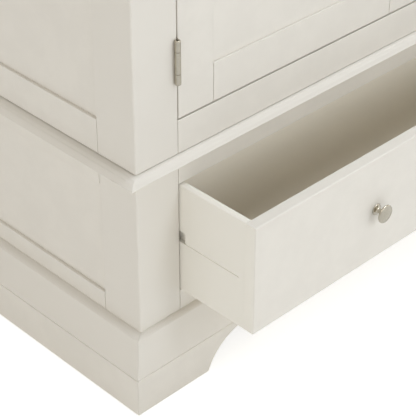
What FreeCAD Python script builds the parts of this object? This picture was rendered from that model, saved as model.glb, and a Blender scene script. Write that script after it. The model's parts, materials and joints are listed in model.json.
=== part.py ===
import FreeCAD, Part
import os

from FreeCAD import Vector

# A painted two-door armoire: a lower carcase with one long drawer, standing on a moulded
# bracket plinth, and an upper hanging carcase with two framed doors and a cornice.
# Millimetres. +Z is up, -Y is the front. The origin is the underside of the centre foot,
# in the middle of the carcase's footprint. The drawer is modelled part open.

# ---------------------------------------------------------------- driving dimensions
WIDTH = 1126.0              # over the side frames
DEPTH = 560.0               # face of the posts to the back
HEIGHT = 1950.0             # floor to the top of the cornice

BOARD = 22.0                # posts, rails, doors and floors
SHELF = 18.0
PANEL = 8.0                 # thickness of the panels
PANEL_SET_BACK = 5.0        # side frame's face to the panel's face
DOOR_PANEL_SET_BACK = 4.0
BACK_PANEL_IN = 12.0        # back of the posts to the front face of the back panels
GROOVE = 8.0                # depth of the grooves that hold the panels
PANEL_ENTRY = 7.0           # how far a panel goes into its groove, which leaves it free to move
POST_FACE = 75.0            # width of a front post, seen from the front
POST_RETURN = 74.0          # width of every post, seen from the side

FOOT_TOP = 63.5             # step between the foot boards and the base moulding
PLINTH_TOP = 132.0
PLINTH_FRONT = 15.0         # how far the plinth stands out of the posts in front
PLINTH_SIDE = 22.0          # and at the sides
DRAWER_LEVEL = (166.5, 343.5)       # the drawer's opening
LOWER_SIDE_PANEL = (162.0, 343.5)   # what shows of the side panels between their rails
REAR_FOOT_IN = 38.0         # back of the posts to the rear foot board
CENTRE_FOOT = 45.0          # width both ways
BEARER_DOWN = 8.0           # drawer's opening to the bearer below it
WAIST_BOTTOM, WAIST_TOP = 372.0, 392.0
WAIST_FRONT = 12.0
WAIST_SIDE = 18.0
DOOR_LEVEL = (444.0, 1818.0)        # the doors' opening
UPPER_SIDE_PANEL = (445.5, 1818.0)
DOOR_STOP_LAP = 8.0         # floor and ceiling show this much behind the doors, and stop them
CARCASE_TOP = 1930.0
CORNICE_BOTTOM = 1880.0
CORNICE_OUT = 46.0

FOOT_LENGTH = 139.0         # bracket foot along the floor, from the plinth's corner
ARCH_RADIUS = 66.0          # curve from the foot up to the arch
ARCH_TOP = 53.0

DOOR_GAP = 2.0
DOOR_THICK = 21.5
DOOR_STILE = 63.0
DOOR_BOTTOM_RAIL = 57.0
DOOR_TOP_RAIL = 66.0

HINGE_LENGTH = 64.0
HINGE_ABOVE_DOOR = 54.0     # door's end to the nearest hinge
HINGE_OUTER_KNUCKLE = 16.0
BARREL_RADIUS = 4.2
BARREL_ASIDE = 2.6          # the barrel's middle stands this far over the post
PIN_RADIUS = 2.0
PIN_CLEARANCE = 0.05
LEAF = 0.9
LEAF_DEPTH = 18.0
RUNNING_GAP = 0.3

DRAWER_GAP_SIDE = 1.5       # each side of the drawer
DRAWER_GAP_LEVEL = 0.8      # above it and below it
DRAWER_OUT = 142.0          # how far open it stands here
DRAWER_FRONT = 18.0         # thickness
DRAWER_SIDE = 12.0
DRAWER_LENGTH = 500.0       # of its sides
DRAWER_BOTTOM = 6.0
DRAWER_BOTTOM_UP = 10.0     # lower edge of the sides to the bottom board
DRAWER_BOTTOM_ENTRY = 6.0   # how far the bottom goes into the sides and the front
DRAWER_BACK_DOWN = 12.0     # top of the sides to the top of the drawer's back
RUNNER_LEVEL = (249.0, 267.0)       # the groove in the drawer's side
RUNNER_GROOVE = 7.0         # its depth
RUNNER_STOP = 114.0         # drawer front to the start of the groove
RUNNER_TONGUE_CLEAR = 0.5   # runner's edge to the floor of the groove
RUNNER_END_IN = 18.0        # back of the posts to the runner's end
LINE_STOP = 11.0            # a shallow line carries the groove's lower edge forward to here
LINE_HEIGHT = 3.0
LINE_DEPTH = 1.2

KNOB_FROM_SIDE = 322.0      # carcase side to a drawer knob
KNOB_PROFILE = (            # radius and distance from the face, base to crown
    (8.8, 0.0), (8.8, 1.5), (7.6, 2.6), (4.4, 3.4), (3.5, 5.0), (3.5, 10.5), (4.6, 12.6),
    (9.5, 14.0), (13.4, 15.2), (14.3, 16.7), (13.4, 18.4), (12.0, 18.2), (7.0, 20.2), (0.0, 21.0))
DOOR_KNOB_LEVEL = 1080.0

HAT_SHELF_LEVEL = 1560.0
HAT_SHELF_IN = 28.0         # back of the front posts to the shelf
BATTEN_HEIGHT = 60.0
BATTEN_IN = 8.0             # back of the front posts to the battens
BATTEN_END = 10.0           # battens to the back panel
HANGING_RAIL_LEVEL = 1525.0
HANGING_RAIL_RADIUS = 12.5
SOCKET_FIT = 0.05           # round the rail in its sockets
SOCKET_RADIUS = 21.0
SOCKET_LENGTH = 14.0
SOCKET_WALL = 2.0           # behind the rail's end
FIXING_RAIL_HEIGHT = 90.0
WALL_SCREW_SPACING = 800.0
WALL_SCREW_RADIUS = 3.0
CATCH = (45.0, 14.0, 13.0)  # a magnetic catch's body
CATCH_FROM_MIDDLE = 45.0    # of the carcase, to the middle of the catch
CATCH_BEHIND_DOOR = 1.5     # the rail's back face to the catch

# ---------------------------------------------------------------- worked-out places
SIDE = WIDTH / 2
FRONT, BACK = -DEPTH / 2, DEPTH / 2
INNER = SIDE - BOARD                    # inner face of the side frames
OPENING = SIDE - POST_FACE              # half the width between the front posts
FRAME_BACK = FRONT + BOARD
RETURN_END = FRONT + POST_RETURN
REAR_POST_START = BACK - POST_RETURN
BACK_PANEL = (BACK - BACK_PANEL_IN, BACK - BACK_PANEL_IN + PANEL)
DOOR_BACK = FRONT + DOOR_THICK

nodes = {}


# ---------------------------------------------------------------- helpers
def board(x, y, z):
    """A squared board between pairs of limits."""
    return Part.makeBox(x[1] - x[0], y[1] - y[0], z[1] - z[0], Vector(x[0], y[0], z[0]))


def mirrored(shape):
    """The same piece on the other side of the middle."""
    return shape.mirror(Vector(0, 0, 0), Vector(1, 0, 0))


def pair(name, left):
    """Left and right pieces as two nodes."""
    nodes[name + "_left"] = left
    nodes[name + "_right"] = mirrored(left)


def both(name, left):
    """Left and right pieces in one node."""
    nodes[name] = Part.makeCompound([left, mirrored(left)])


def cylinder(radius, length, start, direction):
    return Part.makeCylinder(radius, length, Vector(*start), Vector(*direction))


def turned(profile, centre):
    """A turned piece standing out of the front, from (radius, distance) points."""
    points = [Vector(r, -d, 0) for r, d in profile]
    outline = Part.makePolygon([Vector(0, 0, 0)] + points + [Vector(0, 0, 0)])
    solid = Part.Face(outline).revolve(Vector(0, 0, 0), Vector(0, 1, 0), 360)
    solid.translate(Vector(*centre))
    return solid


def outline_face(edges, place):
    """A face from lines and arcs given as (out, up) points; place turns them into vectors."""
    wire_edges = []
    for points in edges:
        corners = [place(out, up) for out, up in points]
        if len(corners) == 3:
            wire_edges.append(Part.Arc(*corners).toShape())
        else:
            wire_edges.append(Part.LineSegment(*corners).toShape())
    return Part.Face(Part.Wire(wire_edges))


def mitred(profile, out_front, out_side, inside):
    """Front and left lengths of a moulding, mitred at the corner.

    profile gives edges in fractions of the projection; inside is how far, in the same
    fractions, the moulding reaches in behind the corner.
    """
    reach = 1.5
    corner_out = (-SIDE - out_side * reach, FRONT - out_front * reach)
    corner_in = (-SIDE + out_side * inside, FRONT + out_front * inside)

    def plan(points):
        outline = [Vector(x, y, 0) for x, y in points + points[:1]]
        return Part.Face(Part.makePolygon(outline)).extrude(Vector(0, 0, HEIGHT))

    front_face = outline_face(
        profile, lambda out, up: Vector(-2 * SIDE, FRONT - out * out_front, up))
    front_plan = plan([corner_out, (-corner_out[0], corner_out[1]),
                       (-corner_in[0], corner_in[1]), corner_in])
    front = front_face.extrude(Vector(4 * SIDE, 0, 0)).common(front_plan)

    side_face = outline_face(
        profile, lambda out, up: Vector(-SIDE - out * out_side, -DEPTH, up))
    side_plan = plan([corner_out, corner_in, (corner_in[0], BACK), (corner_out[0], BACK)])
    side = side_face.extrude(Vector(0, 2 * DEPTH, 0)).common(side_plan)
    return front.Solids[0], side.Solids[0]


# ---------------------------------------------------------------- plinth
def make_plinth():
    inside = 0.6
    ledge = 0.36
    round_over = 0.27
    corner = round_over * 0.3
    top, foot = PLINTH_TOP, FOOT_TOP
    ledge_drop = 4.5
    moulding = [
        [(-inside, foot), (0.95, foot)],
        [(0.95, foot), (0.95, foot + 4)],
        [(0.95, foot + 4), (0.70, (top + foot) / 2 + 2), (ledge + round_over, top - ledge_drop)],
        [(ledge + round_over, top - ledge_drop), (ledge + round_over - corner, top - 1.3),
         (ledge, top)],
        [(ledge, top), (-inside, top)],
        [(-inside, top), (-inside, foot)]]
    front, side = mitred(moulding, PLINTH_FRONT, PLINTH_SIDE, inside)
    nodes["base_moulding_front"] = front
    both("base_moulding_sides", side)

    plain = [[(-inside, 0), (1, 0)], [(1, 0), (1, foot)],
             [(1, foot), (-inside, foot)], [(-inside, foot), (-inside, 0)]]
    front, side = mitred(plain, PLINTH_FRONT, PLINTH_SIDE, inside)
    nodes["foot_board_front"] = front.cut(foot_arch())
    both("foot_board_sides", side)

    side_inner = SIDE - PLINTH_SIDE * inside
    rear_face = BACK - REAR_FOOT_IN
    nodes["foot_board_rear"] = board((-side_inner, side_inner), (rear_face - BOARD, rear_face),
                                     (0, PLINTH_TOP))
    half = CENTRE_FOOT / 2
    nodes["centre_foot"] = board((-half, half), (-half, half), (0, PLINTH_TOP))
    nodes["centre_bearer"] = board((-half, half), (FRAME_BACK, BACK_PANEL[0]),
                                   (PLINTH_TOP, DRAWER_LEVEL[0] - BEARER_DOWN))


def foot_arch():
    """The space between the two bracket feet."""
    foot_end = -SIDE - PLINTH_SIDE + FOOT_LENGTH
    straight = foot_end + ARCH_RADIUS
    middle = (foot_end + ARCH_RADIUS * 0.33, ARCH_TOP * 0.60)
    near, far = FRONT - 2 * PLINTH_FRONT, FRONT + 2 * PLINTH_FRONT

    def point(x, z):
        return Vector(x, near, z)
    edges = [
        Part.LineSegment(point(foot_end, -1), point(foot_end, 0)).toShape(),
        Part.Arc(point(foot_end, 0), point(*middle), point(straight, ARCH_TOP)).toShape(),
        Part.LineSegment(point(straight, ARCH_TOP), point(-straight, ARCH_TOP)).toShape(),
        Part.Arc(point(-straight, ARCH_TOP), point(-middle[0], middle[1]),
                 point(-foot_end, 0)).toShape(),
        Part.LineSegment(point(-foot_end, 0), point(-foot_end, -1)).toShape(),
        Part.LineSegment(point(-foot_end, -1), point(foot_end, -1)).toShape()]
    return Part.Face(Part.Wire(edges)).extrude(Vector(0, far - near, 0))


# ---------------------------------------------------------------- the two carcases
def side_groove(z):
    """The groove in a left side frame that takes its panel, over the height z."""
    outer = -SIDE + PANEL_SET_BACK
    return board((outer, outer + PANEL), (RETURN_END - GROOVE, REAR_POST_START + GROOVE), z)


def make_side_frame(name, z, rails):
    """Front posts, rear posts, side rails and side panels of one carcase."""
    low, high = z
    panel_low, panel_high = rails
    groove = side_groove((panel_low - GROOVE, panel_high + GROOVE))

    face = board((-SIDE, -OPENING), (FRONT, FRAME_BACK), z)
    side = board((-SIDE, -INNER), (FRAME_BACK, RETURN_END), z)
    pair(name + "_front_post", face.fuse(side).removeSplitter().cut(groove))

    rear = board((-SIDE, -INNER), (REAR_POST_START, BACK), z)
    back_groove = board((-INNER - GROOVE, -INNER), BACK_PANEL, z)
    both(name + "_rear_posts", rear.cut(groove).cut(back_groove))

    span = (RETURN_END, REAR_POST_START)
    both(name + "_side_bottom_rails", board((-SIDE, -INNER), span, (low, panel_low)).cut(groove))
    both(name + "_side_top_rails", board((-SIDE, -INNER), span, (panel_high, high)).cut(groove))
    outer = -SIDE + PANEL_SET_BACK
    both(name + "_side_panels",
         board((outer, outer + PANEL), (span[0] - PANEL_ENTRY, span[1] + PANEL_ENTRY),
               (panel_low - PANEL_ENTRY, panel_high + PANEL_ENTRY)))


def make_lower_carcase():
    make_side_frame("lower", (PLINTH_TOP, WAIST_BOTTOM), LOWER_SIDE_PANEL)
    across = (-OPENING, OPENING)
    frame = (FRONT, FRAME_BACK)
    nodes["lower_bottom_rail"] = board(across, frame, (PLINTH_TOP, DRAWER_LEVEL[0]))
    nodes["lower_top_rail"] = board(across, frame, (DRAWER_LEVEL[1], WAIST_BOTTOM))
    reach = INNER + PANEL_ENTRY
    nodes["lower_back_panel"] = board((-reach, reach), BACK_PANEL, (PLINTH_TOP, WAIST_BOTTOM))

    tongue = OPENING - DRAWER_GAP_SIDE - RUNNER_GROOVE + RUNNER_TONGUE_CLEAR
    stop = FRONT + DRAWER_FRONT + RUNNER_STOP + RUNNING_GAP
    level = (RUNNER_LEVEL[0] + RUNNING_GAP, RUNNER_LEVEL[1] - RUNNING_GAP)
    pair("drawer_runner", board((-INNER, -tongue), (stop, BACK - RUNNER_END_IN), level))


def make_waist():
    """The lower carcase's top: its front and sides are hollow below and slope above a lip."""
    top, bottom = WAIST_TOP, WAIST_BOTTOM

    def edge(inside):
        return [
            [(-inside, bottom), (0.0, bottom)],
            [(0.0, bottom), (0.25, bottom + 3.6), (0.86, bottom + 5.8)],
            [(0.86, bottom + 5.8), (1.0, bottom + 7.4), (0.93, bottom + 9.8)],
            [(0.93, bottom + 9.8), (0.5, top - 3.4), (0.0, top)],
            [(0.0, top), (-inside, top)],
            [(-inside, top), (-inside, bottom)]]

    across = outline_face(edge(DEPTH / WAIST_FRONT),
                          lambda out, up: Vector(-2 * SIDE, FRONT - out * WAIST_FRONT, up))
    along = outline_face(edge(SIDE / WAIST_SIDE),
                         lambda out, up: Vector(-SIDE - out * WAIST_SIDE, -DEPTH, up))
    left = across.extrude(Vector(4 * SIDE, 0, 0)).common(along.extrude(Vector(0, 2 * DEPTH, 0)))
    nodes["waist_board"] = left.fuse(mirrored(left)).removeSplitter().Solids[0]


def make_upper_carcase():
    make_side_frame("upper", (WAIST_TOP, CARCASE_TOP), UPPER_SIDE_PANEL)
    across = (-OPENING, OPENING)
    frame = (FRONT, FRAME_BACK)
    nodes["upper_bottom_rail"] = board(across, frame, (WAIST_TOP, DOOR_LEVEL[0]))
    nodes["upper_top_rail"] = board(across, frame, (DOOR_LEVEL[1], CARCASE_TOP))

    inside = (-INNER, INNER)
    depth = (FRAME_BACK, BACK_PANEL[0])
    floor_top = DOOR_LEVEL[0] + DOOR_STOP_LAP
    ceiling = DOOR_LEVEL[1] - DOOR_STOP_LAP
    nodes["upper_floor"] = board(inside, depth, (floor_top - SHELF, floor_top))
    nodes["ceiling_board"] = board(inside, depth, (ceiling, ceiling + SHELF))

    fixing_low = CARCASE_TOP - FIXING_RAIL_HEIGHT
    reach = INNER + PANEL_ENTRY
    nodes["upper_back_panel"] = board((-reach, reach), BACK_PANEL, (WAIST_TOP, fixing_low))
    rail = board(inside, (BACK - BOARD, BACK), (fixing_low, CARCASE_TOP))
    for x in (-WALL_SCREW_SPACING / 2, WALL_SCREW_SPACING / 2):
        rail = rail.cut(cylinder(WALL_SCREW_RADIUS, 2 * BOARD,
                                 (x, BACK - 1.5 * BOARD, fixing_low + FIXING_RAIL_HEIGHT / 2),
                                 (0, 1, 0)))
    nodes["wall_fixing_rail"] = rail

    size = CATCH
    middle = -CATCH_FROM_MIDDLE
    catch_front = FRAME_BACK + CATCH_BEHIND_DOOR
    both("magnetic_catches",
         board((middle - size[0] / 2, middle + size[0] / 2),
               (catch_front, catch_front + size[1]), (ceiling - size[2], ceiling)))


def make_cornice():
    """A sprung cornice: fillet, hollow, small round and top fillet."""
    low, top = CORNICE_BOTTOM, HEIGHT
    back = 0.0
    profile = [
        [(back, low), (0.14, low)],
        [(0.14, low), (0.14, low + 8)],
        [(0.14, low + 8), (0.36, low + 36), (0.80, low + 46)],
        [(0.80, low + 46), (0.80, low + 52)],
        [(0.80, low + 52), (0.97, low + 55), (1.0, top - 8)],
        [(1.0, top - 8), (1.0, top)],
        [(1.0, top), (back, top)],
        [(back, top), (back, low)]]
    front, side = mitred(profile, CORNICE_OUT, CORNICE_OUT, 0.0)
    nodes["cornice_front"] = front
    both("cornice_sides", side)


def make_fittings():
    nodes["hat_shelf"] = board((-INNER, INNER), (FRAME_BACK + HAT_SHELF_IN, BACK_PANEL[0]),
                               (HAT_SHELF_LEVEL, HAT_SHELF_LEVEL + SHELF))
    batten_face = INNER - BOARD
    both("shelf_battens", board((-INNER, -batten_face),
                                (FRAME_BACK + BATTEN_IN, BACK_PANEL[0] - BATTEN_END),
                                (HAT_SHELF_LEVEL - BATTEN_HEIGHT, HAT_SHELF_LEVEL)))
    start = -batten_face
    wall = SOCKET_WALL
    socket = cylinder(SOCKET_RADIUS, SOCKET_LENGTH, (start, 0, HANGING_RAIL_LEVEL), (1, 0, 0))
    recess = cylinder(HANGING_RAIL_RADIUS + SOCKET_FIT, SOCKET_LENGTH,
                      (start + wall, 0, HANGING_RAIL_LEVEL), (1, 0, 0))
    both("rail_sockets", socket.cut(recess))
    length = 2 * (batten_face - wall)
    nodes["hanging_rail"] = cylinder(HANGING_RAIL_RADIUS, length,
                                     (start + wall, 0, HANGING_RAIL_LEVEL), (1, 0, 0))


# ---------------------------------------------------------------- doors and their hinges
def hinge_levels():
    low = DOOR_LEVEL[0] + DOOR_GAP + HINGE_ABOVE_DOOR
    high = DOOR_LEVEL[1] - DOOR_GAP - HINGE_ABOVE_DOOR - HINGE_LENGTH
    return low, (low + high) / 2, high


def make_hinges():
    """Three-knuckle butt hinges: the leaves fill the gap between the post and the door."""
    axis_x = -OPENING - BARREL_ASIDE
    axis_y = FRONT - BARREL_RADIUS - RUNNING_GAP
    bore = PIN_RADIUS + PIN_CLEARANCE
    fixed, moving, pins = [], [], []
    for low in hinge_levels():
        high = low + HINGE_LENGTH
        lower = low + HINGE_OUTER_KNUCKLE
        upper = high - HINGE_OUTER_KNUCKLE

        def knuckle(z):
            return cylinder(BARREL_RADIUS, z[1] - z[0], (axis_x, axis_y, z[0]), (0, 0, 1))
        hole = cylinder(bore, HINGE_LENGTH + 2, (axis_x, axis_y, low - 1), (0, 0, 1))

        post_x = (-OPENING, -OPENING + LEAF)
        leaf = board(post_x, (FRONT, FRONT + LEAF_DEPTH), (low, high))
        for z in ((low, lower), (upper, high)):
            leaf = leaf.fuse([board(post_x, (axis_y, FRONT), z), knuckle(z)])
        fixed.append(leaf.removeSplitter().cut(hole))

        door_x = (-OPENING + DOOR_GAP - LEAF, -OPENING + DOOR_GAP)
        z = (lower + RUNNING_GAP, upper - RUNNING_GAP)
        leaf = board(door_x, (FRONT, FRONT + LEAF_DEPTH), (low, high))
        leaf = leaf.fuse([board(door_x, (axis_y, FRONT), z), knuckle(z)])
        moving.append(leaf.removeSplitter().cut(hole))
        pins.append(cylinder(PIN_RADIUS, HINGE_LENGTH, (axis_x, axis_y, low), (0, 0, 1)))

    nodes["hinge_post_leaves"] = Part.makeCompound(fixed + [mirrored(s) for s in fixed])
    nodes["hinge_pins"] = Part.makeCompound(pins + [mirrored(s) for s in pins])
    moving = Part.makeCompound(moving)
    nodes["left_door_hinge_leaves"] = moving
    nodes["right_door_hinge_leaves"] = mirrored(moving)


def make_doors():
    """Framed doors, each with a flat panel loose in its grooves."""
    outer, meeting = -OPENING + DOOR_GAP, -DOOR_GAP / 2
    low, high = DOOR_LEVEL[0] + DOOR_GAP, DOOR_LEVEL[1] - DOOR_GAP
    thick = (FRONT, DOOR_BACK)
    panel_x = (outer + DOOR_STILE, meeting - DOOR_STILE)
    panel_z = (low + DOOR_BOTTOM_RAIL, high - DOOR_TOP_RAIL)
    panel_y = (FRONT + DOOR_PANEL_SET_BACK, FRONT + DOOR_PANEL_SET_BACK + PANEL)
    groove = board((panel_x[0] - GROOVE, panel_x[1] + GROOVE), panel_y,
                   (panel_z[0] - GROOVE, panel_z[1] + GROOVE))
    pieces = {
        "hinge_stile": board((outer, panel_x[0]), thick, (low, high)).cut(groove),
        "meeting_stile": board((panel_x[1], meeting), thick, (low, high)).cut(groove),
        "bottom_rail": board(panel_x, thick, (low, panel_z[0])).cut(groove),
        "top_rail": board(panel_x, thick, (panel_z[1], high)).cut(groove),
        "panel": board((panel_x[0] - PANEL_ENTRY, panel_x[1] + PANEL_ENTRY), panel_y,
                       (panel_z[0] - PANEL_ENTRY, panel_z[1] + PANEL_ENTRY)),
        "knob": turned(KNOB_PROFILE, (meeting - DOOR_STILE / 2, FRONT, DOOR_KNOB_LEVEL))}
    for piece, left in pieces.items():
        nodes["left_door_" + piece] = left
        nodes["right_door_" + piece] = mirrored(left)


# ---------------------------------------------------------------- drawer
def make_drawer():
    half = OPENING - DRAWER_GAP_SIDE
    low, high = DRAWER_LEVEL[0] + DRAWER_GAP_LEVEL, DRAWER_LEVEL[1] - DRAWER_GAP_LEVEL
    face = FRONT - DRAWER_OUT
    start = face + DRAWER_FRONT
    end = start + DRAWER_LENGTH
    bottom_z = (low + DRAWER_BOTTOM_UP, low + DRAWER_BOTTOM_UP + DRAWER_BOTTOM)
    inner = half - DRAWER_SIDE
    bottom = board((-inner - DRAWER_BOTTOM_ENTRY, inner + DRAWER_BOTTOM_ENTRY),
                   (start - DRAWER_BOTTOM_ENTRY, end), bottom_z)

    nodes["drawer_front"] = board((-half, half), (face, start), (low, high)).cut(bottom)
    groove = board((-half, -half + RUNNER_GROOVE), (start + RUNNER_STOP, end), RUNNER_LEVEL)
    line = board((-half, -half + LINE_DEPTH), (start + LINE_STOP, start + RUNNER_STOP),
                 (RUNNER_LEVEL[0], RUNNER_LEVEL[0] + LINE_HEIGHT))
    side = board((-half, -inner), (start, end), (low, high)).cut([bottom, groove, line])
    pair("drawer_side", side)
    nodes["drawer_back"] = board((-inner, inner), (end - DRAWER_SIDE, end),
                                 (bottom_z[1], high - DRAWER_BACK_DOWN))
    nodes["drawer_bottom"] = bottom
    both("drawer_knobs", turned(KNOB_PROFILE, (-SIDE + KNOB_FROM_SIDE, face, (low + high) / 2)))


make_plinth()
make_lower_carcase()
make_waist()
make_upper_carcase()
make_cornice()
make_fittings()
make_hinges()
make_doors()
make_drawer()

os.makedirs("parts", exist_ok=True)
for node, shape in nodes.items():
    shape.exportStep("parts/" + node + ".step")
print(len(nodes), "nodes")
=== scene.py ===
"""A painted armoire: its joinery, mouldings, turned knobs, hinges and fittings.

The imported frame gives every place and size. Each operator below makes one group of pieces.
"""

import json
import math
from contextlib import contextmanager

import bmesh
import bpy
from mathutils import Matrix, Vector

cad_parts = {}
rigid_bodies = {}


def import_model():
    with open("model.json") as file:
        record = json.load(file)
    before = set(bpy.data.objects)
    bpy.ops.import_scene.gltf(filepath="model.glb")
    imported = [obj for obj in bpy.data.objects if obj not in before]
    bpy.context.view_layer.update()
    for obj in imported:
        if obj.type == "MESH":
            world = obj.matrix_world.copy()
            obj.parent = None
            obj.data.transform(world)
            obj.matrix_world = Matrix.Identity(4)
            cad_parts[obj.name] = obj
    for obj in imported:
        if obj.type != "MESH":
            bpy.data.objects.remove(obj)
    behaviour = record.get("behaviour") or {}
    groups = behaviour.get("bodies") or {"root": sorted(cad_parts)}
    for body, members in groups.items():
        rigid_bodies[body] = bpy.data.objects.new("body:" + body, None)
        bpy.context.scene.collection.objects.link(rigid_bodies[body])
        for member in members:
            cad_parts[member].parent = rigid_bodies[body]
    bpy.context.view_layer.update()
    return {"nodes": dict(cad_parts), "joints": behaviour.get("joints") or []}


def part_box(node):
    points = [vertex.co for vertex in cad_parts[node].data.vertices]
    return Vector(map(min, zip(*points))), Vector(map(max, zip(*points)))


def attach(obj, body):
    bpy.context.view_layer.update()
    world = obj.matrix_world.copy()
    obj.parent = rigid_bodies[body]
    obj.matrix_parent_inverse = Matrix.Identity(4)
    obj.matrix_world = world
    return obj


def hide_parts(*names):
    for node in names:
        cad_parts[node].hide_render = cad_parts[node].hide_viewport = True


bl_info = {
    "name": "Painted Armoire",
    "version": (1, 0, 0),
    "blender": (4, 5, 0),
    "location": "View3D > Sidebar > Armoire",
    "description": "Makes the joinery, mouldings, fittings and finishes of a painted armoire",
    "category": "Object",
}

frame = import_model()

MM = 0.001

# Places that the frame gives, in metres.
POST_LOW, POST_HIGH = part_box("upper_front_post_left")
SIDE = -POST_LOW.x                              # half the width over the side frames
OPENING = -POST_HIGH.x                          # half the width between the front posts
FRONT = POST_LOW.y
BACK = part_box("upper_rear_posts")[1].y
PLINTH_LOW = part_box("foot_board_front")[0]
PLINTH_OUT = Vector((-SIDE - PLINTH_LOW.x, FRONT - PLINTH_LOW.y))
WAIST_LOW, WAIST_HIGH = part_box("waist_board")
CORNICE_LOW, CORNICE_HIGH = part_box("cornice_front")


# ---------------------------------------------------------------- values a user would change
def length(name, description, value, low, high):
    """A length given in millimetres and kept in metres."""
    return bpy.props.FloatProperty(
        name=name, description=description, default=value * MM, min=low * MM, max=high * MM,
        subtype="DISTANCE", unit="LENGTH")


def colour(name, description, value):
    return bpy.props.FloatVectorProperty(
        name=name, description=description, default=value, min=0, max=1, size=3,
        subtype="COLOR")


def share(name, description, value, low=0.0, high=1.0):
    return bpy.props.FloatProperty(
        name=name, description=description, default=value, min=low, max=high,
        subtype="FACTOR" if high == 1.0 else "NONE")


def watts(name, description, value):
    return bpy.props.FloatProperty(
        name=name, description=description, default=value, min=0, max=2000,
        subtype="POWER", unit="POWER")


class ArmoireTimber(bpy.types.PropertyGroup):
    """How the edges of the boards are worked."""
    arris: length("Arris", "Radius worked on the edge of a board", 0.9, 0.2, 3)
    joint_gap: length("Joint gap", "Hairline left at each end of a board", 0.8, 0, 1.5)
    corner_round: length("Post corner", "Radius of the outer corner of a front post",
                         2.6, 0.5, 8)
    drawer_round: length("Drawer edge", "Radius of the edges of the drawer's front",
                         2.4, 0.5, 5)
    side_round: length("Drawer side edge", "Radius of the top edges of the drawer's sides",
                       2.6, 0.5, 5)
    match_board: length("Match board", "Width of the boards in the back", 91, 50, 160)


class ArmoirePaint(bpy.types.PropertyGroup):
    """The paint and the bare wood."""
    outside: colour("Outside", "Colour of the paint outside", (0.760, 0.728, 0.664))
    # Drawer colour: the outside paint made lighter, a painted bounce light from the front post on
    # the drawer's sides.
    drawer: colour("Drawer", "Colour of the paint on the drawer's sides",
                   (0.845, 0.818, 0.745))
    inside: colour("Inside", "Colour of the paint inside and in the drawer",
                   (0.880, 0.808, 0.672))
    sheen: share("Roughness", "Roughness of the satin paint", 0.46, 0.1)
    wood_light: colour("Pale wood", "Pale bands of the bare wood", (0.60, 0.43, 0.26))
    wood_dark: colour("Dark wood", "Dark bands of the bare wood", (0.40, 0.25, 0.13))


class ArmoireMetal(bpy.types.PropertyGroup):
    """The metal of the knobs, hinges and fittings."""
    nickel: colour("Nickel", "Colour of the satin nickel", (0.52, 0.48, 0.40))
    nickel_roughness: share("Nickel roughness", "Roughness of the satin nickel", 0.24, 0.05)


class ArmoireStage(bpy.types.PropertyGroup):
    """Floor, lights and camera."""
    key_power: watts("Key light", "Strength of the key light", 40.0)
    key_size: bpy.props.FloatVectorProperty(
        name="Key size", description="Width and height of the key light",
        default=(0.95, 1.9), min=0.1, max=6, size=2, subtype="XYZ", unit="LENGTH")
    top_power: watts("Top light", "Strength of the light overhead", 290.0)
    fill_power: watts("Drawer fill", "Strength of the light inside the open drawer", 0.20)
    sky: share("Surroundings", "Brightness of the pale room at the horizon", 1.08, high=4.0)
    ceiling: share("Ceiling", "Brightness of the room straight above", 0.26, high=4.0)
    floor_glow: share("Floor glow", "Light that the lit floor adds of its own", 0.12, high=4.0)
    lens: bpy.props.FloatProperty(
        name="Lens", description="Focal length of the camera",
        default=128.1 * MM, min=0.02, max=0.3, subtype="DISTANCE_CAMERA", unit="CAMERA")


# ---------------------------------------------------------------- modelling helpers
def only(piece):
    """Selects one piece and nothing else."""
    bpy.ops.object.select_all(action="DESELECT")
    piece.select_set(True)
    bpy.context.view_layer.objects.active = piece


@contextmanager
def editing(piece, mode="EDGE"):
    """Edit mode on one piece, with nothing selected to begin with."""
    only(piece)
    bpy.ops.object.mode_set(mode="EDIT")
    bpy.ops.mesh.select_mode(type=mode)
    bpy.ops.mesh.select_all(action="DESELECT")
    yield piece.data
    bpy.ops.object.mode_set(mode="OBJECT")


def pick(piece, kind, test):
    """In edit mode, selects the verts, edges or faces whose corners all pass the test."""
    mesh = bmesh.from_edit_mesh(piece.data)
    bpy.ops.mesh.select_all(action="DESELECT")
    for item in getattr(mesh, kind):
        corners = (item,) if kind == "verts" else item.verts
        item.select_set(all(test(v.co) for v in corners))
    mesh.select_flush_mode()
    bmesh.update_edit_mesh(piece.data)


def apply(piece, kind, **settings):
    """Adds a modifier with these settings and applies it."""
    only(piece)
    bpy.ops.object.modifier_add(type=kind)
    modifier = piece.modifiers[-1]
    for name, value in settings.items():
        setattr(modifier, name, value)
    bpy.ops.object.modifier_apply(modifier=modifier.name)


def block(name, low, high):
    """A squared block between two corners, with its place in its mesh."""
    bpy.ops.object.select_all(action="DESELECT")
    low, high = Vector(low), Vector(high)
    bpy.ops.mesh.primitive_cube_add(size=1, location=(low + high) / 2)
    piece = bpy.context.object
    piece.name = piece.data.name = name
    piece.scale = high - low
    bpy.ops.object.transform_apply(location=True, rotation=True, scale=True)
    return piece


def rod(name, radius, start, end, sides=40):
    """A round rod along Z between two heights, with its place in its mesh."""
    bpy.ops.object.select_all(action="DESELECT")
    start, end = Vector(start), Vector(end)
    bpy.ops.mesh.primitive_cylinder_add(
        vertices=sides, radius=radius, depth=(end - start).length, location=(start + end) / 2)
    piece = bpy.context.object
    piece.name = piece.data.name = name
    piece.rotation_euler = (end - start).to_track_quat("Z", "Y").to_euler()
    bpy.ops.object.transform_apply(location=True, rotation=True, scale=True)
    return piece


def copied(name, node):
    """A copy of a CAD node with its triangles merged back into whole faces."""
    piece = bpy.data.objects.new(name, frame["nodes"][node].data.copy())
    bpy.context.scene.collection.objects.link(piece)
    piece.data.name = name
    piece.data.materials.clear()
    with editing(piece):
        bpy.ops.mesh.select_all(action="SELECT")
        bpy.ops.mesh.remove_doubles(threshold=0.01 * MM)
        bpy.ops.mesh.dissolve_limited(angle_limit=math.radians(0.5))
        bpy.ops.mesh.normals_make_consistent(inside=False)
    return piece


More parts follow.
